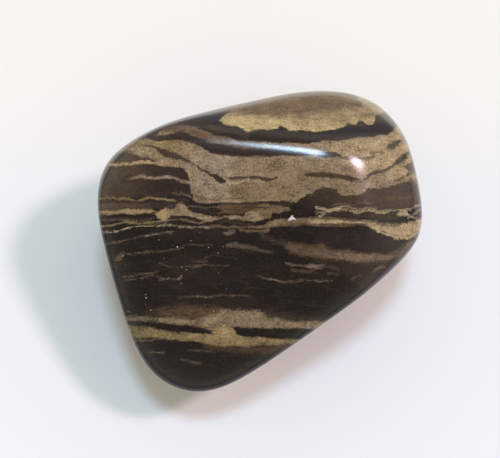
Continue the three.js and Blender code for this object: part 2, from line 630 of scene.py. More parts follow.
# %% Paint the ground
drift = cloud(rock, scaled(rock, place_mm, (0.10, 0.32, 0.16)), 1.0, 3.0, 0.55)
smear = cloud(rock, scaled(rock, place_mm, (0.45, 3.2, 0.6)), 1.0, 3.0, 0.6)
ground = blend(rock, ramp(rock, drift.outputs[0], 0.48, 0.70, 0.0, 0.35), MUD_BLACK, MUD_BROWN)
ground = blend(rock, ramp(rock, smear.outputs[0], 0.52, 0.72, 0.0, 0.45), ground, MUD_BROWN)
pile = Pile(ground)
pile.bed(
    MUD_RED,
    upper=[(3.4, 2.8), (8, 3.8), (16, 4.8)],
    lower=[(3.4, 1.8), (8, 1.7), (9, 1.6), (16, 1.9)],
    closed="left", strength=[(3, 0.0), (4.5, 0.25), (6, 0.5), (8, 0.8), (16, 0.8)],
    softness=0.9,
)
pile.bed(
    MUD_DEEP,
    upper=[(5.5, 0.0), (16, 0.0)], lower=[(5.5, -2.0), (8, -4.4), (16, -6.0)],
    closed="left", strength=0.9, softness=0.8,
)
pile.bed(
    MUD_BROWN,
    upper=[(7.5, -3.0), (9, -2.6), (16, -2.4)], lower=[(7.5, -3.8), (9, -5.2), (16, -6.5)],
    closed="left", strength=0.8, softness=0.9,
)
pile.bed(
    MUD_OLIVE,
    upper=[(-16, 9.0), (-10, 9.4), (-7, 9.6), (-3.4, 9.9), (-2.6, 9.4)],
    lower=[(-16, 5.8), (-10, 6.2), (-7.5, 6.4), (-5.5, 8.9), (-3.4, 9.2), (-2.6, 9.4)],
    closed="right", strength=[(-16, 0.85), (-9, 0.8), (-6, 0.45), (-3, 0.3)], softness=0.5,
)
pile.bed(
    MUD_OLIVE,
    upper=[(-16, 6.6), (-6.4, 6.2)], lower=[(-16, 4.5), (-6.4, 4.5)], closed="neither",
    strength=[(-16, 1.0), (-11.5, 0.95), (-10, 0.8), (-8.5, 0.3), (-7, 0.0)], softness=0.4,
)
pile.bed(
    MUD_OLIVE,
    upper=[(-16, 4.5), (-6.4, 4.5)], lower=[(-16, 2.7), (-6.4, 2.7)], closed="neither",
    strength=[(-16, 1.0), (-12.5, 0.75), (-10, 0.45), (-8.5, 0.1), (-7, 0.0)], softness=0.3,
)
pile.bed(
    MUD_BROWN,
    upper=[(-11, 6.0), (-9.2, 5.9), (-8.8, 5.8), (-8, 5.7), (-7, 5.5), (-6.3, 5.0)],
    lower=[(-11, 2.8), (-9.2, 2.8), (-7, 3.0), (-5.8, 3.2)],
    strength=[(-11, 0.0), (-9.5, 0.5), (-7.5, 0.85), (-5.5, 0.7)], softness=0.3,
)
print("ground laid:", pile.count, "beds")

# %% [markdown]
# ## The sand sea
#
# One broad bed of sand crosses the stone from side to side. It splits into tongues at the
# left, where blocks of mud stand in it, and darker threads run through it.

# %% Lay the sand sea
pile.bed(
    SAND_TAN,
    upper=[
        (-13, 7.0), (-12, 7.25), (-11.2, 7.3), (-10.8, 7.8), (-10.5, 7.95), (-10, 7.95),
        (-9.5, 7.95), (-9, 8.4), (-8.6, 8.85), (-8, 9.0), (-7, 9.2), (-6, 9.05), (-5, 8.7),
        (-4, 8.3), (-3, 8.12), (-2, 7.88), (-1, 7.8), (0, 7.65), (2, 7.6), (4, 7.5),
        (5, 7.65), (6, 7.75), (7, 7.75), (8, 7.95), (9, 8.15), (10, 8.15), (11, 8.4),
        (11.5, 8.5), (12, 8.9), (12.3, 9.2), (13, 9.6), (16, 9.9),
    ],
    lower=[
        (-13, 6.85), (-12, 6.95), (-11.3, 6.9), (-11, 6.6), (-10.5, 6.35), (-10, 6.3),
        (-9.3, 6.15), (-8.9, 5.75), (-8, 5.7), (-7.7, 5.55), (-7.2, 5.45), (-6.8, 5.4),
        (-6.5, 5.1), (-6.25, 4.6), (-6.15, 4.2), (-5.95, 3.6), (-5.9, 3.1), (-6.1, 2.7),
        (-5.6, 2.45), (-5, 2.35), (-3, 2.35), (-2, 2.3), (-1, 2.4), (1, 2.4), (2.5, 2.45),
        (3, 2.3), (3.5, 2.55), (4, 2.9), (4.2, 3.1), (4.8, 3.2), (5.1, 3.55), (5.5, 3.7),
        (6, 3.7), (6.5, 3.6), (6.9, 3.55), (7, 3.15), (7.5, 2.95), (8.5, 3.0), (9, 3.15),
        (9.3, 3.4), (9.6, 3.6), (10.5, 3.6), (11, 3.75), (12, 3.95), (13, 4.2),
        (14, 4.55), (16, 4.9),
    ],
    closed="left",
)
pile.bed(
    SAND_OCHRE,
    upper=[(-12.5, 7.4), (-11, 7.9), (-9, 8.0), (-7, 7.9), (-5.2, 7.2)],
    lower=[(-12.5, 7.2), (-11, 7.3), (-9.5, 7.2), (-8, 6.8), (-6.5, 6.6), (-5.2, 6.6)],
    strength=[(-12, 0.8), (-7, 0.85), (-5.8, 0.4), (-4.8, 0.0)], softness=0.4,
)
pile.thread(
    SAND_PALE, [(-12.2, 7.05), (-11.2, 6.95), (-10, 6.75), (-9, 6.45), (-8, 6.15)], 0.2,
    strength=0.4, softness=0.3,
)
pile.bed(
    SAND_ASH,
    upper=[(-6.6, 5.8), (-5, 6.5), (-3, 6.6), (-1, 6.2), (1.5, 6.0)],
    lower=[(-6.6, 5.6), (-6.0, 5.2), (-5.6, 4.2), (-5.4, 3.0), (-3, 2.6), (-2, 4.2), (1.5, 4.6)],
    strength=[(-7, 0.0), (-5.8, 0.7), (-3, 0.9), (0, 0.5), (1.5, 0.0)], softness=0.6,
)
pile.bed(
    SAND_PALE,
    upper=[(5.5, 7.6), (7, 7.75), (9, 8.15), (11, 8.4), (12.3, 9.2), (16, 9.9)],
    lower=[(5.5, 7.4), (7, 6.2), (9, 5.0), (11, 4.9), (13, 4.6), (16, 5.0)],
    closed="left", strength=0.65, softness=1.2,
)
pile.bed(
    SAND_GOLD,
    upper=[(9.0, 6.4), (10.5, 6.5), (12, 7.2), (13, 7.6), (16, 8.0)],
    lower=[(9.0, 5.6), (10.5, 5.4), (12, 6.1), (13, 6.6), (16, 7.0)],
    closed="left", strength=0.5, softness=0.5,
)
pile.bed(
    SAND_AMBER,
    upper=[(-2, 6.1), (0, 6.3), (4, 6.3), (6, 6.0), (9, 5.2)],
    lower=[(-2, 4.6), (0, 4.4), (4, 3.2), (6, 3.7), (9, 3.4)],
    strength=0.5, softness=0.9,
)
pile.bed(
    SAND_AMBER,
    upper=[(-2.8, 3.5), (-2.0, 3.9), (-1, 4.1), (0.5, 4.15), (2.2, 4.0), (3.2, 3.5)],
    lower=[(-2.8, 3.3), (-1.5, 2.75), (0.5, 2.6), (2.2, 2.7), (3.2, 3.2)],
    strength=0.85, softness=0.35,
)
pile.thread(SAND_PALE, [(-3, 4.9), (-1.5, 4.85), (0.2, 4.85)], 0.1, strength=0.5, softness=0.2)
pile.bed(
    SAND_AMBER,
    upper=[(-1.5, 5.6), (1, 5.9), (4, 5.8)], lower=[(-1.5, 5.2), (1, 4.9), (4, 5.0)],
    strength=0.3, softness=0.5,
)
pile.thread(SAND_PALE, [(-2.6, 3.85), (-2, 4.05), (-1.2, 4.2)], 0.06, strength=0.4)
print("sea laid:", pile.count, "beds")

# %% Lay the dark streaks in its upper part
pile.bed(
    MUD_TAN,
    upper=[
        (-8.6, 8.9), (-7, 9.3), (-6, 9.05), (-5, 8.7), (-4, 8.3), (-3, 8.14),
        (-2, 7.88), (-1, 7.8), (0.2, 7.5),
    ],
    lower=[
        (-8.6, 8.6), (-7, 8.6), (-6, 8.25), (-5, 7.85), (-4, 7.6), (-3, 7.5), (-2, 7.2),
        (-1, 7.0), (0.2, 7.2),
    ],
    strength=0.9, softness=0.25,
)
pile.thread(
    SAND_TAN, [(-7, 9.0), (-6, 8.75), (-5, 8.35), (-4, 8.0), (-3, 7.8), (-2, 7.6)], 0.12,
    strength=[(-5.5, 0.0), (-3.5, 0.35), (-2, 0.6)], softness=0.3,
)
pile.bed(
    MUD_BROWN,
    upper=[
        (-9.8, 8.2), (-9, 8.35), (-8, 8.4), (-7, 8.7), (-6, 8.3), (-5, 7.9), (-4, 7.6),
        (-3, 7.45), (-2, 7.25), (-1, 7.1), (0, 7.1), (2, 7.1), (3, 7.0), (4.4, 6.8),
    ],
    lower=[
        (-9.8, 8.1), (-9, 7.75), (-8, 7.8), (-7, 7.75), (-6, 7.55), (-5, 7.1), (-4, 6.7),
        (-3, 6.5), (-2, 6.38), (-1, 6.33), (0, 6.35), (1, 6.38), (3, 6.4), (4.4, 6.6),
    ],
)
pile.thread(
    MUD_DEEP, [(-5, 7.35), (-4, 7.0), (-3, 6.85), (-1, 6.65), (1, 6.6)], 0.16,
    strength=0.7, softness=0.3,
)
pile.thread(
    MUD_BROWN,
    [(5.0, 6.5, 0.12), (5.7, 6.6, 0.3), (6.4, 6.55, 0.28), (7, 6.45, 0.12)], 0.2, strength=0.9,
)
pile.thread(
    MUD_BROWN, [(6.9, 6.4), (7.8, 6.2), (8.6, 6.25), (9.3, 6.2), (10.1, 6.4)], 0.16,
    strength=0.75, softness=0.2, broken=0.15,
)
pile.thread(MUD_TAN, [(9.8, 6.7), (10.4, 6.8), (11, 6.85)], 0.08, strength=0.7)
pile.thread(
    MUD_BROWN,
    [
        (-10.5, 7.5, 0.04), (-9.5, 7.25, 0.07), (-9, 7.05, 0.12), (-8.5, 6.8, 0.24),
        (-8, 6.65, 0.30), (-7.5, 6.5, 0.28), (-7, 6.3, 0.2), (-6.5, 6.1, 0.12),
        (-6, 5.85, 0.05), (-5.3, 5.45, 0.04),
    ],
    0.2,
)
print("upper streaks laid:", pile.count, "beds")

# %% Lay the lenses and threads in its lower part
pile.thread(
    MUD_DEEP,
    [
        (-5.4, 5.35, 0.06), (-4.9, 5.1, 0.11), (-4.4, 4.88, 0.13), (-4, 4.65, 0.25),
        (-3.5, 4.4, 0.3), (-3.1, 4.25, 0.2), (-2.9, 4.2, 0.1),
    ],
    0.2, strength=0.95,
)
pile.thread(
    MUD_BROWN,
    [
        (-3.0, 4.5, 0.05), (-1.9, 4.53, 0.09), (-0.8, 4.52, 0.11), (0, 4.45, 0.13),
        (0.5, 4.38, 0.18), (1, 4.4, 0.12), (1.6, 4.55, 0.07),
    ],
    0.1, strength=0.9, softness=0.08,
)
pile.thread(MUD_TAN, [(-1.6, 4.0), (-0.3, 3.9)], 0.06, strength=0.5)
pile.thread(
    MUD_TAN, [(-5.8, 3.0), (-5, 2.75), (-4, 2.65), (-3, 2.72), (-1.6, 2.75)], 0.08,
    strength=0.7, broken=0.3,
)
pile.thread(
    MUD_DEEP,
    [
        (4.1, 4.75, 0.15), (4.6, 4.8), (5, 4.75), (6, 4.75), (6.5, 4.65), (7, 4.65),
        (7.5, 4.5), (8.2, 4.4), (8.9, 4.25, 0.08),
    ],
    0.22, strength=0.85, softness=0.15,
)
pile.thread(
    MUD_BROWN,
    [
        (9.2, 4.3, 0.08), (9.5, 4.6, 0.15), (10, 4.9, 0.13), (10.5, 5.1, 0.12),
        (11, 5.2, 0.12), (11.5, 5.4, 0.15), (12, 5.75, 0.2), (12.5, 6.15, 0.28),
        (13, 6.45, 0.3), (13.4, 6.75, 0.2),
    ],
    0.2, strength=0.9, softness=0.16,
)
pile.thread(
    MUD_BROWN,
    [(11.4, 7.25, 0.15), (11.8, 7.35, 0.34), (12.2, 7.55, 0.24), (12.7, 7.9, 0.15)], 0.2,
    strength=0.85, softness=0.25,
)
pile.thread(MUD_BROWN, [(12.1, 4.3), (12.6, 4.45), (13, 4.7), (13.6, 5.0)], 0.09, strength=0.8)
pile.bed(
    MUD_BROWN,
    upper=[(13.1, 5.6), (13.6, 6.0), (16, 6.6)],
    lower=[(13.1, 5.5), (13.6, 5.1), (16, 4.9)],
    closed="left", strength=0.8, softness=0.25,
)
pile.thread(MUD_BROWN, [(4.0, 3.75), (4.4, 3.6), (4.8, 3.3)], 0.12, strength=0.6, softness=0.3)
print("lower streaks laid:", pile.count, "beds")

# %% [markdown]
# ## The cap and the mud under it
#
# The top of the pile is a second bed of sand, golden below and browner above. A smooth band
# of mud parts it from the sea. Both cap tones are painted lighter than the sand itself: part
# of them is painted reflection, the pale sheen of the back slope.

# %% Lay the cap
cap_base = [
    (-3.1, 9.2), (-2, 9.05), (-1.5, 8.8), (-1, 8.6), (-0.5, 8.68), (0, 8.8), (1.5, 8.85),
    (1.9, 9.15), (2.2, 9.0), (3, 8.72), (4, 8.8), (5, 8.65), (6, 8.75), (7, 8.85), (7.5, 9.1),
    (8.1, 9.6), (8.5, 9.4), (9.2, 9.85), (9.6, 9.55), (10, 9.4), (10.5, 9.7),
    (10.6, 10.3), (11.2, 10.6), (16, 11.4),
]
pile.bed(
    MUD_DEEP,
    upper=[(-4.5, 9.6), (-3.6, 12.5), (11, 12.5), (12, 9.9), (12.5, 9.4)],
    lower=[
        (-4.5, 8.7), (-4, 8.35), (-3, 8.1), (-2, 7.9), (-1, 7.8), (0, 7.65), (2, 7.6),
        (4, 7.5), (5, 7.65), (6, 7.75), (7, 7.75), (8, 7.95), (9, 8.15), (10, 8.15),
        (11, 8.4), (11.5, 8.5), (12, 8.9), (12.5, 9.3),
    ],
    strength=0.9,
)
pile.thread(
    MUD_OLIVE, [(-4.4, 9.0), (-3.5, 8.7), (-2.2, 8.5), (-1, 8.2)], 0.18, strength=0.5,
    softness=0.4,
)
# Painted reflection: the cap tones below are lighter than the sand, standing in for the sheen of the
# back slope.
pile.bed(
    CAP_SAND_AND_SHEEN, upper=[(-3.1, 10.2), (-2.5, 10.7), (-2, 18), (16, 18)], lower=cap_base,
    closed="left",
)
pile.bed(
    CAP_BROWN_AND_SHEEN,
    upper=[(2.5, 10.5), (6, 11.5), (16, 12.5)],
    lower=[(2.5, 10.0), (6, 9.4), (9, 9.6), (16, 11.0)],
    closed="left", strength=0.5, softness=1.0,
)
pile.bed(
    CAP_BROWN_AND_SHEEN,
    upper=[(-2, 18), (8, 18), (9.5, 11.3)],
    lower=[(-2, 10.4), (0, 10.2), (3, 10.2), (5, 10.5), (7, 10.9), (8.5, 11.0), (9.5, 11.2)],
    closed="right", strength=0.95, softness=0.6,
)
print("cap laid:", pile.count, "beds")

# %% [markdown]
# ## The blocks at the left
#
# Thin threads of sand part the mud there into three blocks, like mortar in a dry wall.

# %% Lay the threads between the blocks
pile.bed(
    SAND_GOLD,
    upper=[
        (-14, 5.85), (-13, 5.87), (-12, 5.85), (-11.5, 5.87), (-11, 5.93), (-10, 6.07),
        (-9.5, 6.05), (-9, 6.0), (-8, 5.85), (-7.4, 5.6),
    ],
    lower=[
        (-14, 5.7), (-13, 5.65), (-12, 5.62), (-11, 5.7), (-10, 5.78), (-9.2, 5.72),
        (-8.8, 5.6), (-8, 5.62), (-7.4, 5.5),
    ],
    closed="right", strength=[(-14, 0.85), (-11, 1.0), (-9, 0.9), (-7, 0.7)],
)
pile.thread(
    SAND_ASH,
    [
        (-11.4, 4.5, 0.05), (-11.1, 4.58, 0.09), (-10.5, 4.62), (-10, 4.6), (-9.5, 4.55),
        (-9, 4.5), (-8.5, 4.62), (-8, 4.58), (-7.5, 4.42), (-7, 4.22), (-6.5, 4.1),
        (-6, 4.05, 0.06),
    ],
    0.13, broken=0.12,
)
pile.thread(
    SAND_GREY, [(-12.8, 4.55), (-12.2, 4.5), (-11.6, 4.48)], 0.05, strength=0.3, broken=0.5,
)
pile.bed(
    MUD_DEEP,
    upper=[(-9.0, 4.15), (-7.6, 4.1), (-7, 3.95), (-6.3, 3.8), (-5.9, 3.5)],
    lower=[(-9.0, 3.3), (-7.6, 3.2), (-7, 3.2), (-6.3, 3.1), (-5.9, 3.2)],
    strength=0.6, softness=0.5,
)
pile.thread(
    SAND_GREY, [(-7.5, 3.12), (-7, 3.12), (-6.4, 3.0), (-6, 2.85)], 0.07, strength=0.6,
    softness=0.2,
)
pile.bed(
    MUD_BROWN,
    upper=[(-14, 2.6), (-12, 2.45), (-9, 2.5), (-7.6, 2.4), (-6.9, 2.75), (-6.2, 2.7)],
    lower=[(-14, 1.75), (-10.4, 1.75), (-9, 1.7), (-8, 1.75), (-7.4, 2.2), (-6.2, 2.3)],
    closed="right", strength=0.95, softness=0.15,
)
pile.bed(
    MUD_OLIVE,
    upper=[(-16, 2.6), (-12.5, 2.5), (-11.3, 2.35), (-10.2, 2.35), (-9.6, 2.2)],
    lower=[(-16, 1.7), (-12.5, 1.7), (-11.3, 1.75), (-10.2, 1.75), (-9.6, 1.85)],
    closed="right", strength=[(-16, 1.0), (-12, 1.0), (-10, 0.6), (-9, 0.2)], softness=0.3,
)
pile.thread(
    SAND_OCHRE, [(-14, 2.15), (-12.5, 2.15), (-11, 2.1)], 0.16, closed="right", strength=0.14,
    softness=0.3,
)
pile.thread(
    MUD_DEEP, [(-14, 2.35), (-12.8, 2.4), (-11.5, 2.25), (-10, 2.35), (-8.4, 2.35)], 0.08,
    closed="right", strength=0.7, broken=0.4,
)
pile.thread(MUD_RED, [(-13.5, 2.05), (-12, 2.1), (-10.6, 1.95)], 0.05, strength=0.7, broken=0.5)
pile.thread(
    SAND_OCHRE,
    [
        (-14.3, 2.65), (-13.5, 2.75), (-13, 2.75), (-12.5, 2.7), (-12, 2.68), (-11.3, 2.55),
        (-10.6, 2.5), (-10.2, 2.55), (-9.8, 2.7), (-9, 2.66), (-8.5, 2.6), (-8, 2.5),
        (-7.4, 2.48),
    ],
    0.08, closed="right",
    strength=[(-14, 0.8), (-11.4, 0.9), (-10.6, 0.7), (-9.8, 1.0), (-8, 0.9)],
    broken=0.3,
)
print("blocks laid:", pile.count, "beds")

# %% [markdown]
# ## The thin beds across the middle
#
# Below the blocks the beds are thin and many: a ragged band of sand, then fine threads
# that join into one pale lamina at the right. They are the part that shows best how the
# mats grew, one skin after another.

# %% Lay the ragged band
pile.bed(
    MUD_TAN,
    upper=[(-3.6, 2.1), (-3.2, 2.25), (-1, 2.25), (0, 2.3), (0.7, 2.2)],
    lower=[(-3.6, 1.6), (-3.2, 1.4), (-1, 1.45), (0, 1.3), (0.7, 1.35)],
    strength=0.8, softness=0.3,
)
pile.bed(
    SAND_OCHRE,
    upper=[(-16, 1.7), (-13, 1.7), (-12, 1.7), (-11, 1.7), (-10, 1.65), (-9.2, 1.5)],
    lower=[(-16, 1.25), (-13, 1.25), (-12, 1.27), (-11, 1.3), (-10, 1.35), (-9.2, 1.4)],
    closed="right", strength=[(-16, 0.7), (-13, 0.85), (-11, 1.0), (-9, 1.0)],
)
pile.thread(
    CREAM, [(-13.5, 1.5), (-12, 1.5), (-10.8, 1.52), (-9.6, 1.5)], 0.07, closed="right",
    strength=0.4, broken=0.5,
)
pile.bed(
    SAND_GOLD,
    upper=[(-9.1, 1.35), (-8.7, 1.65), (-8.3, 1.8), (-8, 1.75)],
    lower=[(-9.1, 1.15), (-8.7, 0.85), (-8.3, 0.68), (-8, 0.9)],
    strength=0.95, softness=0.16,
)
pile.bed(
    SAND_TAN,
    upper=[
        (-8.1, 1.75), (-7.6, 1.75), (-7.3, 2.15), (-7, 2.35), (-6.5, 2.2), (-6.1, 1.7),
        (-5.5, 1.45), (-5, 1.35), (-4.5, 1.2), (-3.5, 1.05), (-3, 1.15), (-2, 1.15),
        (-1.5, 1.1), (-1, 1.4), (-0.5, 1.5), (0, 1.3), (0.3, 1.1),
    ],
    lower=[
        (-8.1, 1.15), (-7, 1.15), (-6, 1.02), (-5.5, 0.95), (-5, 0.85), (-4.8, 0.68),
        (-4.5, 0.68), (-4, 0.75), (-3.5, 0.8), (-3, 0.95), (-2, 0.85), (-1.5, 0.8),
        (-1, 0.75), (-0.5, 0.65), (0, 0.7), (0.3, 0.8),
    ],
    strength=[(-8, 1.0), (-5.5, 0.9), (-4.5, 1.0), (-3.5, 0.7), (-1, 1.0), (0, 1.0)],
)
pile.thread(CREAM, [(-5.3, 1.0), (-5.0, 0.98), (-4.75, 1.0)], 0.13, strength=0.6, softness=0.16)
pile.bed(
    SAND_AMBER,
    upper=[(0, 2.1), (0.8, 2.15), (1.6, 2.1), (2.3, 2.0), (2.6, 1.95)],
    lower=[(0, 1.0), (0.9, 0.95), (1.2, 1.4), (1.9, 1.4), (2.1, 1.6), (2.6, 1.7)],
    strength=0.7, softness=0.14,
)
pile.bed(
    MUD_DEEP,
    upper=[(-6.3, 1.85), (-5.5, 1.9), (-5, 1.88), (-4, 1.75), (-3.4, 1.6)],
    lower=[(-6.3, 1.7), (-5.5, 1.48), (-5, 1.38), (-4, 1.22), (-3.4, 1.3)],
    softness=0.14,
)
pile.bed(
    MUD_DEEP,
    upper=[(-5.9, 2.35), (-5, 2.28), (-4, 2.3), (-3.2, 2.3), (-1, 2.32), (0.6, 2.32)],
    lower=[(-5.9, 2.25), (-5, 2.15), (-4, 2.18), (-3.2, 2.2), (-1, 2.24), (0.6, 2.26)],
    strength=0.8,
)
pile.thread(
    SAND_GREY,
    [
        (-8, 2.0), (-7.3, 1.95), (-6.6, 2.1), (-6, 2.05), (-5, 1.98), (-4, 1.95), (-3.5, 1.85),
    ],
    0.05, strength=0.5, broken=0.5,
)
pile.thread(MUD_TAN, [(-3.5, 1.3), (-3, 1.45), (-2, 1.4), (-1.3, 1.35)], 0.08, strength=0.8)
pile.thread(MUD_BROWN, [(0.9, 2.2), (1.8, 2.2), (2.8, 2.2)], 0.09)
pile.thread(MUD_BROWN, [(-1.3, 1.85), (-0.3, 1.8), (0.5, 1.8)], 0.11, softness=0.2)
print("ragged band laid:", pile.count, "beds")

# %% Lay the fine threads below it
pile.thread(
    MUD_RED, [(-16, 0.98), (-13, 0.97), (-11, 0.98), (-9.3, 1.0)], 0.04,
    closed="right", strength=0.5, broken=0.4,
)
pile.thread(
    MUD_TAN, [(-16, 0.78), (-13, 0.78), (-12, 0.82), (-11, 0.8), (-9.4, 0.85)], 0.06,
    closed="right", strength=0.9, broken=0.35,
)
pile.thread(
    SAND_OCHRE,
    [
        (-16, 0.2), (-13.5, 0.22), (-13, 0.28), (-12.5, 0.42), (-12, 0.57), (-11.5, 0.62),
        (-10.5, 0.55), (-9, 0.6), (-8.4, 0.7), (-8.1, 0.95),
    ],
    0.075, closed="right", strength=0.85, broken=0.25,
)
pile.thread(
    CREAM,
    [
        (-16, -0.25), (-13, -0.25), (-12.5, -0.2), (-12, -0.05), (-11.5, 0.12), (-11, 0.2),
        (-10, 0.28), (-9, 0.25), (-8.5, 0.25), (-7.5, 0.33), (-7, 0.25), (-6, 0.17),
        (-5.2, 0.2), (-4.5, 0.12),
    ],
    0.045, closed="right", strength=[(-16, 0.6), (-11, 0.85), (-8, 0.7), (-4.5, 0.5)],
    softness=0.08, broken=0.2,
)
pile.thread(MUD_TAN, [(-9.6, 0.42), (-8.6, 0.45), (-8.2, 0.5)], 0.05, strength=0.6, broken=0.3)
pile.thread(
    SAND_TAN,
    [(-8.3, 0.45), (-8, 0.75), (-7, 0.75), (-6, 0.65), (-5.5, 0.55), (-4.6, 0.62)], 0.05,
    strength=0.8, broken=0.2,
)
pile.thread(MUD_BROWN, [(-7.8, 0.95), (-7, 0.97), (-6, 0.85), (-5.3, 0.8)], 0.06)
pile.thread(
    MUD_DEEP, [(-8, 0.55), (-7, 0.52), (-6, 0.42), (-4, 0.42), (-3.4, 0.5)], 0.06,
    strength=0.8,
)
pile.bed(
    MUD_BROWN,
    upper=[(-3.3, 0.8), (-3, 0.85), (-2.5, 0.8), (-2, 0.7), (-1.5, 0.65), (-1, 0.6), (-0.5, 0.55)],
    lower=[(-3.3, 0.4), (-3, 0.55), (-2.5, 0.55), (-2, 0.45), (-1.5, 0.4), (-1, 0.42), (-0.5, 0.48)],
)
pile.thread(
    SAND_TAN,
    [
        (-5, 0.15), (-4, 0.2), (-3.5, 0.25), (-3, 0.15), (-2, 0.15), (-1, 0.2), (0, 0.2),
        (0.5, 0.2), (1, 0.3), (1.5, 0.45),
    ],
    0.1, strength=[(-5, 0.4), (-2, 0.45), (0, 0.7), (1.5, 0.9)], broken=0.2,
)
pile.thread(
    SAND_GREY, [(-3.2, -0.3, 0.05), (-2.6, -0.28, 0.16), (-2.1, -0.2, 0.06)], 0.1,
    strength=0.7, softness=0.2,
)
pile.thread(
    SAND_AMBER,
    [(-1.8, -0.05), (-1.3, -0.2), (-0.5, -0.15), (0, -0.08), (0.5, -0.12), (0.8, -0.03)],
    0.07, strength=0.6,
)
print("fine threads laid:", pile.count, "beds")

# %% Lay the pale lamina and the threads beside it
pile.bed(
    SAND_AMBER,
    upper=[
        (0.6, 0.5), (1, 0.78), (1.5, 0.85), (2, 0.9), (3, 0.97), (5, 1.08), (6, 1.05),
        (7, 1.0), (8, 0.93), (9, 0.82), (10, 0.68), (11, 0.55), (12, 0.45), (13, 0.48),
        (13.5, 0.65), (14, 0.88), (16, 1.2),
    ],
    lower=[
        (0.6, 0.15), (1, 0.15), (2, 0.22), (3, 0.2), (4, 0.3), (5, 0.3), (7, 0.25),
        (8, 0.27), (9, 0.3), (9.5, 0.2), (10, -0.02), (10.5, -0.2), (11, -0.42),
        (11.5, -0.67), (12, -0.85), (12.5, -0.95), (13, -0.95), (13.5, -0.85),
        (14, -0.6), (16, -0.3),
    ],
    closed="left", strength=[(0.5, 0.75), (2, 0.55), (4, 0.4), (5.2, 0.65), (16, 0.65)],
)
pile.bed(
    SAND_PALE,
    upper=[(1.0, 0.7), (2, 0.78), (3, 0.85), (4, 0.9), (6, 0.85), (7, 0.75), (8, 0.68), (8.8, 0.6)],
    lower=[(1.0, 0.55), (2, 0.5), (3, 0.5), (4, 0.55), (5, 0.5), (6, 0.55), (8, 0.55), (8.8, 0.52)],
    strength=[(1, 0.25), (4, 0.15), (5, 0.8), (8.8, 0.85)], softness=0.15,
)
pile.bed(
    SAND_PALE,
    upper=[(9.2, 0.6), (10, 0.45), (11, 0.32), (12, 0.28), (13, 0.38), (14, 0.75), (16, 1.1)],
    lower=[(9.2, 0.45), (10, 0.05), (11, -0.38), (12, -0.8), (13, -0.9), (14, -0.6), (16, -0.25)],
    closed="left", strength=0.9, softness=0.25,
)
pile.thread(
    MUD_BROWN, [(4.5, 0.95), (5, 0.97), (6, 0.92), (7.5, 0.86), (9, 0.72)], 0.03,
    strength=0.7,
)
pile.thread(MUD_BROWN, [(5.3, 0.42), (6.2, 0.47), (7.5, 0.46), (9.2, 0.4)], 0.06, strength=0.85)
pile.thread(MUD_BROWN, [(6, 0.3), (7, 0.32), (8.6, 0.32)], 0.025, strength=0.6)
pile.thread(
    CREAM,
    [
        (8.6, 0.57), (9.3, 0.45), (9.8, 0.2), (10.4, -0.03), (11, -0.28), (11.5, -0.55),
        (12, -0.74), (12.6, -0.86), (13.2, -0.84),
    ],
    0.05, strength=0.6, softness=0.1,
)
pile.thread(
    MUD_TAN,
    [(10.9, -0.15), (11.5, -0.42), (12, -0.6), (12.5, -0.68), (13, -0.66), (13.5, -0.5)],
    0.035, strength=0.9, softness=0.08,
)
pile.bed(
    MUD_BROWN,
    upper=[(6.3, 1.45), (8, 1.5), (9, 1.35), (10, 1.45), (11.5, 1.35), (12.3, 1.3)],
    lower=[(6.3, 1.15), (8, 1.05), (9, 0.95), (10, 0.85), (11.5, 0.7), (12.3, 0.9)],
    strength=0.9, softness=0.2,
)
pile.thread(
    SAND_PALE,
    [
        (4.9, 1.85, 0.05), (5.5, 1.78), (6, 1.68), (6.5, 1.72), (7, 1.8), (7.6, 1.95),
        (8.2, 1.85), (8.8, 1.72), (9.4, 1.78), (10, 1.78), (10.7, 1.66), (11.4, 1.68),
        (12.2, 1.66), (13, 1.68), (13.5, 1.8), (14, 2.05), (16, 2.6),
    ],
    0.09, closed="left", strength=[(4.9, 0.75), (7, 0.8), (8, 0.6), (10, 0.8), (16, 0.8)],
    broken=0.3,
)
pile.thread(
    SAND_PALE,
    [
        (4.9, 1.52, 0.05), (5.5, 1.5), (6, 1.55), (6.5, 1.58), (7, 1.62), (7.6, 1.7),
        (8.2, 1.62), (8.8, 1.5), (9.3, 1.62), (10, 1.64), (10.7, 1.5), (11.5, 1.58),
    ],
    0.07, strength=0.75, broken=0.3,
)
pile.thread(
    CREAM,
    [(5.15, 1.08, 0.05), (5.4, 1.18), (5.7, 1.35), (6, 1.55), (6.4, 1.62), (7, 1.7, 0.05)], 0.06,
    strength=0.7, softness=0.1,
)
pile.thread(SAND_GREY, [(4.9, 1.28), (5.2, 1.4), (5.5, 1.3), (6.3, 1.28)], 0.04, strength=0.7)
pile.thread(
    SAND_GREY, [(6.5, 2.05), (7.4, 2.15), (8.2, 2.1), (9, 2.3), (10, 2.2)], 0.05,
    strength=0.4, broken=0.4,
)
pile.thread(SAND_PALE, [(12.35, 1.3), (12.8, 1.35), (13.2, 1.3)], 0.17, strength=0.85, broken=0.2)
pile.thread(CREAM, [(12.9, 1.6), (13.3, 1.3), (13.7, 1.05), (14.2, 1.0)], 0.05, strength=0.8)
pile.thread(SAND_PALE, [(13.2, 0.95), (13.7, 1.25), (14, 1.55), (15, 1.9)], 0.08, strength=0.6)
pile.thread(
    MUD_TAN, [(11.3, 2.6), (12, 2.75), (13, 2.65), (13.5, 2.9)], 0.1, strength=0.6,
    softness=0.3,
)
pile.thread(
    CHALK, [(2.62, 0.84, 0.06), (2.8, 0.98, 0.14), (3.0, 0.95, 0.06), (3.2, 0.78, 0.05)],
    0.1, strength=1.0, softness=0.06,
)
print("pale lamina laid:", pile.count, "beds")

# %% [markdown]
# ## The dark lower half
#
# The mud below is almost bare. A few broken threads of pale grains cross it, and two beds
# of sand close it off near the narrow end.

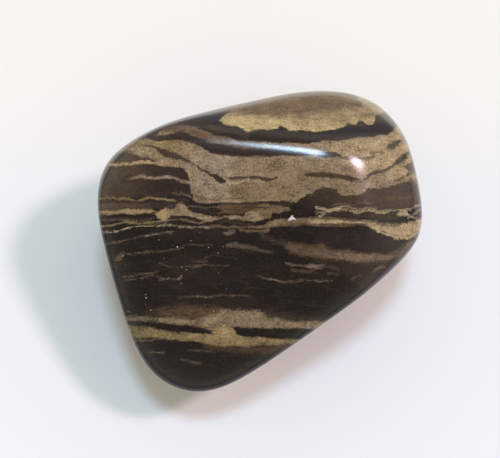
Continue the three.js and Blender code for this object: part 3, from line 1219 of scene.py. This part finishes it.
# %% Lay the streaks in the dark half
for tone, points, half, strength in (
    (SAND_OCHRE, [(-13.8, -1.45), (-13, -1.25), (-12.1, -1.1)], 0.05, 0.55),
    (SAND_GREY, [(-12.3, -1.05), (-11.4, -0.95), (-10.8, -0.72), (-10, -0.6)], 0.04, 0.5),
    (SAND_ASH, [(-10, -0.58), (-9, -0.36), (-8.2, -0.27), (-7.6, -0.2)], 0.04, 0.65),
    (SAND_BROWN, [(-11.7, -2.2), (-10.9, -2.15), (-10.3, -2.05), (-9.3, -1.98)], 0.07, 0.85),
    (SAND_BROWN, [(-9.4, -1.97), (-8.6, -1.95), (-7.6, -1.82), (-6.8, -1.7)], 0.05, 0.75),
    (SAND_BROWN, [(-7.0, -1.7), (-6.4, -1.45), (-5.8, -1.4), (-4.2, -1.35)], 0.05, 0.6),
    (SAND_BROWN, [(-8.9, -2.95), (-8.3, -3.1), (-7.9, -3.3), (-7.2, -3.35)], 0.05, 0.6),
    (SAND_BROWN, [(-7.2, -3.35), (-6.2, -3.35), (-5.7, -3.2), (-5, -3.15)], 0.05, 0.7),
    (SAND_GREY, [(-5.8, -3.4), (-5.5, -3.35), (-5.1, -3.3)], 0.12, 0.5),
    (SAND_BROWN, [(-5, -3.1), (-4.4, -3.25), (-3.7, -3.22), (-2.7, -3.25)], 0.05, 0.7),
    (SAND_BROWN, [(-5.9, -2.85), (-5.4, -2.75), (-4.8, -2.8)], 0.13, 0.5),
    (SAND_BROWN, [(-4.9, -2.35), (-4.4, -2.3), (-3.7, -2.3)], 0.07, 0.6),
    (SAND_AMBER, [(-12.1, -4.2), (-11.4, -4.15), (-10.9, -4.05), (-10.1, -3.95)], 0.045, 0.55),
    (SAND_AMBER, [(-10.1, -3.93), (-9.6, -3.85), (-9.1, -3.78)], 0.05, 0.6),
    (SAND_GREY, [(-12.1, -4.62), (-11.3, -4.5), (-10.7, -4.42), (-10, -4.25)], 0.045, 0.6),
    (SAND_BROWN, [(-10, -4.15), (-9.3, -4.12), (-8.8, -4.3), (-8.5, -4.4)], 0.05, 0.6),
    (SAND_GREY, [(-8.9, -4.35), (-8.4, -4.38), (-8.1, -4.34)], 0.07, 0.7),
    (SAND_GREY, [(-7.8, -4.42), (-7.4, -4.45), (-6.9, -4.3)], 0.06, 0.75),
    (SAND_BROWN, [(-7.2, -6.05), (-6.2, -6.0), (-5.3, -5.96)], 0.05, 0.7),
    (SAND_GREY, [(-5.4, -5.95), (-4.8, -5.95), (-4.2, -5.93)], 0.07, 0.75),
    (SAND_BROWN, [(-4.1, -5.88), (-3.2, -5.78), (-2.2, -5.8), (-0.8, -5.85)], 0.06, 0.65),
    (SAND_GREY, [(2.4, -3.1), (3, -3.22), (3.7, -3.27), (4.6, -3.35)], 0.09, 0.55),
    (SAND_GREY, [(4.4, -3.3), (5, -3.35), (5.6, -3.3)], 0.2, 0.75),
    (SAND_BROWN, [(5.4, -3.3), (6.2, -3.35), (7.0, -3.5)], 0.08, 0.7),
    (MUD_TAN, [(2.9, -3.65), (3.8, -3.75), (4.8, -3.7)], 0.1, 0.6),
    (MUD_TAN, [(6.0, -3.95), (6.5, -3.85), (7.0, -3.95)], 0.12, 0.6),
    (SAND_BROWN, [(-0.2, -4.0), (0.2, -4.15), (0.7, -4.35), (1.1, -4.42)], 0.06, 0.8),
    (SAND_TAN, [(1.0, -4.35), (1.4, -4.45), (1.9, -4.58)], 0.05, 0.8),
    (SAND_BROWN, [(1.9, -4.58), (2.6, -4.63), (3.3, -4.6), (3.8, -4.5)], 0.06, 0.85),
    (SAND_ASH, [(4.1, -4.52), (4.8, -4.56), (5.6, -4.58), (6.4, -4.6)], 0.03, 0.6),
    (SAND_GREY, [(10.1, -3.7), (10.5, -3.45), (11.1, -3.35)], 0.09, 0.5),
    (SAND_BROWN, [(8.1, -4.5), (8.5, -4.3), (8.9, -4.1)], 0.12, 0.5),
    (MUD_TAN, [(-13, -3.3), (-12.4, -3.15), (-11.8, -3.1)], 0.05, 0.4),
):
    pile.thread(tone, points, half, strength=strength, softness=0.14, broken=0.75)
pile.thread(
    SAND_BROWN, [(-12.7, -2.65, 0.1), (-12.35, -2.5, 0.3), (-12.0, -2.2, 0.1)], 0.2,
    strength=0.8, softness=0.3,
)
pile.thread(
    SAND_GREY,
    [
        (-2.8, -1.5, 0.1), (-2.3, -1.4, 0.26), (-1.5, -1.5, 0.25), (-0.8, -1.6, 0.2),
        (-0.2, -1.7, 0.12), (0.5, -1.9, 0.1), (1.2, -2.05, 0.06),
    ],
    0.2, strength=[(-3, 0.45), (-0.5, 0.5), (0.5, 0.35), (1.3, 0.2)], softness=0.22, broken=0.35,
)
pile.thread(MUD_RED, [(0.1, -0.35), (0.6, -0.7), (1.2, -1.0)], 0.2, strength=0.6, softness=0.35)
print("streaks laid:", pile.count, "beds")

# %% Lay the broad faint bed of the right
pile.bed(
    MUD_TAN,
    upper=[
        (1.2, -1.0), (2, -1.1), (3, -1.25), (4, -1.35), (4.5, -1.4), (5.5, -1.3),
        (6, -1.6), (7, -1.8), (8, -1.9), (8.3, -2.1), (10, -2.05), (11, -2.15),
        (12, -1.9), (13, -1.2), (14, -0.9),
    ],
    lower=[
        (1.2, -1.2), (2, -1.5), (2.3, -1.9), (3, -2.2), (4, -2.4), (5, -2.55),
        (6, -2.65), (7, -2.7), (8, -2.85), (9, -2.95), (11, -2.9), (12, -2.7), (13, -2.3),
        (14, -2.0),
    ],
    strength=[(1, 0.2), (3, 0.6), (5, 0.75), (9, 0.75), (13, 0.65)], softness=0.3, broken=0.25,
)
pile.thread(
    SAND_GREY, [(2.6, -1.6), (3.4, -1.85), (4.2, -1.95), (5.2, -2.0)], 0.3, strength=0.22,
    softness=0.3,
)
pile.bed(
    SAND_GREY,
    upper=[(5.0, -1.8), (6, -1.9), (7, -1.95), (8.3, -2.1), (10, -2.15), (11, -2.3), (11.6, -2.3)],
    lower=[(5.0, -2.2), (6, -2.5), (7, -2.6), (8.3, -2.78), (10, -2.8), (11, -2.75), (11.6, -2.6)],
    strength=[(5, 0.2), (6.5, 0.6), (9, 0.65), (11.6, 0.6)], softness=0.25, broken=0.25,
)
pile.thread(
    SAND_GREY, [(11.4, -2.6), (12, -2.45), (12.8, -1.9), (13.6, -1.2)], 0.09, strength=0.6,
    softness=0.2, broken=0.3,
)
pile.thread(MUD_DEEP, [(5.2, -2.0), (6, -2.05), (6.8, -2.2)], 0.06, strength=0.5, broken=0.4)
print("faint bed laid:", pile.count, "beds")

# %% Lay the two beds near the narrow end
pile.bed(
    MUD_TAN,
    upper=[(-10, -6.9), (-8, -6.9), (-7, -6.8), (-5, -6.9), (-3.4, -7.0)],
    lower=[(-10, -7.8), (-8, -7.9), (-7, -7.9), (-5, -8.0), (-3.4, -8.0)],
    strength=[(-10, 0.2), (-8, 0.6), (-5, 0.75), (-3.4, 0.8)], softness=0.5, broken=0.5,
)
pile.bed(
    MUD_RED,
    upper=[(0.5, -7.2), (2, -7.4), (4, -7.7), (16, -8.0)],
    lower=[(0.5, -7.9), (2, -8.0), (4, -8.0), (16, -8.4)],
    closed="left", strength=0.5, softness=0.4,
)
pile.bed(
    SAND_TAN,
    upper=[
        (-16, -8.0), (-11.5, -7.8), (-10.5, -7.75), (-9, -7.85), (-8, -7.8), (-7, -7.85),
        (-6, -7.9), (-5, -7.75), (-4, -7.6), (-3.2, -7.15), (-2, -7.15), (-1, -7.2),
        (0, -7.25), (0.5, -7.5), (1, -7.85), (2, -7.95), (3, -8.05), (16, -8.4),
    ],
    lower=[
        (-16, -8.2), (-11.5, -8.2), (-10.5, -8.15), (-9, -8.2), (-8, -8.42), (-7, -8.45),
        (-6, -8.55), (-5, -8.75), (-4, -8.95), (-2, -8.6), (-1, -8.78), (1, -8.78),
        (2, -8.75), (4, -8.75), (5.5, -8.8), (16, -9.2),
    ],
    closed="neither", strength=[(-12, 0.65), (-9, 0.75), (-4, 0.85), (1, 0.9), (5, 1.0)],
    softness=0.32, broken=0.12,
)
pile.bed(
    SAND_OCHRE,
    upper=[
        (-16, -8.6), (-11.3, -8.6), (-10, -8.62), (-9.1, -8.75), (-8, -9.05), (-7, -9.1),
        (-6.5, -9.15), (-5.5, -9.2), (-4.4, -9.15), (-3.8, -8.6), (-3.0, -8.5),
        (-2.4, -8.7), (-2.0, -9.25), (-1.4, -9.5), (0, -9.62), (2, -9.7), (3, -9.75),
        (16, -10.2),
    ],
    lower=[
        (-16, -9.5), (-11, -9.6), (-9, -9.65), (-8, -9.7), (-6, -9.8), (-5, -10.05),
        (-4, -10.25), (-3, -10.4), (-2, -10.2), (-1, -10.35), (0, -10.25), (1, -10.2),
        (3, -10.2), (16, -10.8),
    ],
    closed="neither", strength=[(-12, 0.65), (-9, 0.75), (-3, 0.85), (1, 0.8)], softness=0.2,
)
pile.thread(
    SAND_GOLD, [(-4.6, -9.3, 0.1), (-3.5, -9.1, 0.3), (-2.6, -9.2, 0.3), (-1.6, -9.7, 0.1)],
    0.3, strength=0.3, softness=0.4,
)
pile.thread(SAND_GOLD, [(-9.9, -9.0), (-9.4, -8.95), (-9.0, -9.0)], 0.2, strength=0.4, softness=0.3)
pile.bed(
    MUD_BLACK,
    upper=[
        (-11.6, -8.25), (-10, -8.27), (-9.1, -8.35), (-8, -8.45), (-7, -8.5), (-6, -8.6),
        (-5, -8.8), (-4.3, -9.05),
    ],
    lower=[
        (-11.6, -8.45), (-10, -8.5), (-9.1, -8.8), (-8, -9.02), (-7, -9.08), (-6, -9.12),
        (-5, -9.18), (-4.3, -9.15),
    ],
    strength=[(-12, 0.7), (-9.5, 0.8), (-8.8, 1.0), (-4, 1.0)],
)
pile.bed(
    MUD_BLACK,
    upper=[(-2.3, -8.75), (-1.8, -8.65), (-1, -8.75), (0, -8.8), (2, -8.8), (4, -8.8), (16, -9.2)],
    lower=[(-2.3, -8.9), (-1.8, -9.35), (-1, -9.5), (0, -9.6), (2, -9.7), (4, -9.75), (16, -10.2)],
    closed="left",
)
pile.thread(
    MUD_BROWN, [(0.0, -10.1), (0.8, -10.22), (1.8, -10.15), (2.6, -10.1)], 0.06, strength=0.7,
)
pile.bed(
    MUD_TAN,
    upper=[(-5, -10.1), (-3, -10.3), (-1, -10.3), (0.5, -10.3), (2.5, -10.2)],
    lower=[(-5, -10.3), (-3, -10.8), (-1, -10.9), (0.5, -10.9), (2.5, -10.6)],
    strength=0.5, softness=0.4, broken=0.5,
)
for tone, points, half, strength in (
    (SAND_GREY, [(-11.2, -9.9), (-10, -9.85), (-9, -9.78), (-7.5, -9.85)], 0.06, 0.6),
    (MUD_BROWN, [(-10.4, -9.7), (-9.6, -9.72), (-8.8, -9.72)], 0.05, 0.8),
    (SAND_GREY, [(-9.8, -10.9), (-9.1, -11.0), (-8.4, -11.05)], 0.05, 0.6),
    (SAND_BROWN, [(-6.3, -10.75), (-5.2, -10.8), (-4, -10.9)], 0.05, 0.6),
    (SAND_GREY, [(-7.0, -11.5), (-6.2, -11.7), (-5.2, -11.9)], 0.05, 0.45),
    (SAND_BROWN, [(-8.6, -7.4), (-7.8, -7.5), (-7.0, -7.6)], 0.08, 0.6),
    (SAND_BROWN, [(-5.2, -7.4), (-4.6, -7.5), (-4.0, -7.5)], 0.1, 0.5),
):
    pile.thread(tone, points, half, strength=strength, softness=0.14, broken=0.7)
print("narrow end laid:", pile.count, "beds")

# %% [markdown]
# ## Chips
#
# Tumbling knocks tiny pits into the mud, and they look white because their broken walls
# scatter light. They could be drawn one by one, but a Voronoi texture is quicker: it has
# one point in each of its cells, and a dot is drawn at those points that lie near the
# skin. The dots gather around the place that took the last knocks.

# %% Strew the chips
KNOCKED = Vector((-8.2, -5.6, 11.5)) * MM  # from the origin of the stone
MANY_CHIPS = 3.0 * MM  # up to this far from there, every chip shows in full
FEW_CHIPS = 7.5 * MM  # and from this far on, the chips are all but gone
FEW_SHARE = 0.03  # how strongly they still show there
CELLS_PER_MM = 2.5
BIGGEST_CHIP = 0.15  # cells, half its width
CHIP_EDGE = 0.04  # cells
CHIP_FRAY = 0.07  # cells

pits = rock.nodes.new("ShaderNodeTexVoronoi")
feed(rock, pits.inputs["Vector"], place_mm)
pits.inputs["Scale"].default_value = CELLS_PER_MM
pit_kind = rock.nodes.new("ShaderNodeSeparateColor")
feed(rock, pit_kind.inputs[0], pits.outputs["Color"])
pit_half = ramp(rock, pit_kind.outputs[0], 0.4, 1.0, 0.0, BIGGEST_CHIP)
pit_edge = calculate(rock, "MULTIPLY_ADD", specks, CHIP_FRAY, pits.outputs["Distance"])
pit_mask = ramp(rock, calculate(rock, "SUBTRACT", pit_edge, pit_half), CHIP_EDGE, 0.0)
knock = rock.nodes.new("ShaderNodeVectorMath")
knock.operation = "DISTANCE"
feed(rock, knock.inputs[0], own)
knock.inputs[1].default_value = KNOCKED
near_knock = ramp(rock, knock.outputs["Value"], FEW_CHIPS, MANY_CHIPS, FEW_SHARE, 1.0)
pit_mask = calculate(rock, "MULTIPLY", pit_mask, near_knock)
pit_bright = ramp(rock, pit_kind.outputs[1], 0.0, 1.0, 0.15, 0.8)
pit_mask = calculate(rock, "MULTIPLY", pit_mask, pit_bright)
print("chips strewn")

# %% [markdown]
# ## Grain, depth of colour and gloss
#
# Sand grain shows where the rock is pale, so the paleness of the beds themselves decides
# how much of it to add. A few pale flecks lie in the mud, and dark ones in the sand. The
# polish is even over the whole stone, only a little duller on the sand, where grains have
# plucked out. Real relief that fine would need millions of faces, so a Bump node makes it.

# %% Finish the material
GRAIN_YELLOW = (1.06, 1.0, 0.84, 1)
GRAIN_PINK = (0.99, 0.96, 1.04, 1)
FLECK_BROWN = (0.105, 0.072, 0.055, 1)
POLISH = 0.13  # roughness of the bare mud
PLUCKED = 0.04  # what the sand adds to it
QUARTZ_IOR = 1.5
RELIEF_DEPTH = 0.005 * MM
RELIEF_STRENGTH = 0.5

pale = rock.nodes.new("ShaderNodeRGBToBW")
feed(rock, pale.inputs[0], pile.colour)
sandy = ramp(rock, pale.outputs[0], 0.02, 0.14)
grain = place_group(rock, sand_grain, Place=place_mm)
shade = calculate(rock, "SUBTRACT", grain.outputs["Shade"], 1.0)
shade = calculate(rock, "MULTIPLY_ADD", shade, ramp(rock, sandy, 0.0, 1.0, 0.6, 1.0), 1.0)
tint = blend(rock, grain.outputs["Tint"], GRAIN_YELLOW, GRAIN_PINK)
tint = blend(rock, 1.0, tint, shade, "MULTIPLY")
dressed = blend(rock, 1.0, pile.colour, tint, "MULTIPLY")

flecks = cloud(rock, place_mm, 8.5, 2.0, 0.75).outputs[0]
fleck_mask = ramp(rock, flecks, 0.50, 0.85, 0.0, 0.7)
fleck_mask = calculate(rock, "MULTIPLY", fleck_mask, ramp(rock, streaks, 0.35, 0.65, 0.2, 1.0))
fleck_mask = calculate(rock, "MULTIPLY", fleck_mask, ramp(rock, sandy, 0.0, 1.0, 1.0, 0.0))
dressed = blend(rock, fleck_mask, dressed, FLECK_BROWN)
mud_mask = ramp(rock, flecks, 0.42, 0.26, 0.0, 0.5)
mud_mask = calculate(rock, "MULTIPLY", mud_mask, sandy)
dressed = blend(rock, mud_mask, dressed, MUD_BROWN)
pit_mask = calculate(rock, "MULTIPLY", pit_mask, ramp(rock, sandy, 0.0, 0.6, 1.0, 0.0))
dressed = blend(rock, pit_mask, dressed, CHALK)
feed(rock, rock_shader.inputs["Base Color"], dressed)

dullness = calculate(rock, "MULTIPLY_ADD", sandy, PLUCKED, POLISH)
dullness = calculate(rock, "MULTIPLY_ADD", grain.outputs["Relief"], PLUCKED, dullness)
feed(rock, rock_shader.inputs["Roughness"], dullness)
rock_shader.inputs["IOR"].default_value = QUARTZ_IOR

bump = rock.nodes.new("ShaderNodeBump")
bump.inputs["Strength"].default_value = RELIEF_STRENGTH
bump.inputs["Distance"].default_value = RELIEF_DEPTH
feed(rock, bump.inputs["Height"], grain.outputs["Relief"])
feed(rock, rock_shader.inputs["Normal"], bump.outputs[0])
print("material:", len(rock.nodes), "nodes,", pile.count, "beds")

# %% [markdown]
# ## Put the stone together
#
# The skin takes the place of the faceted solid, which stays hidden and carries weight and
# contact. It rides on the one body that there is.

# %% Hand over the skin
skin.data.materials.clear()
skin.data.materials.append(rock_material)
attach(skin, "root")
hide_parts("stone")
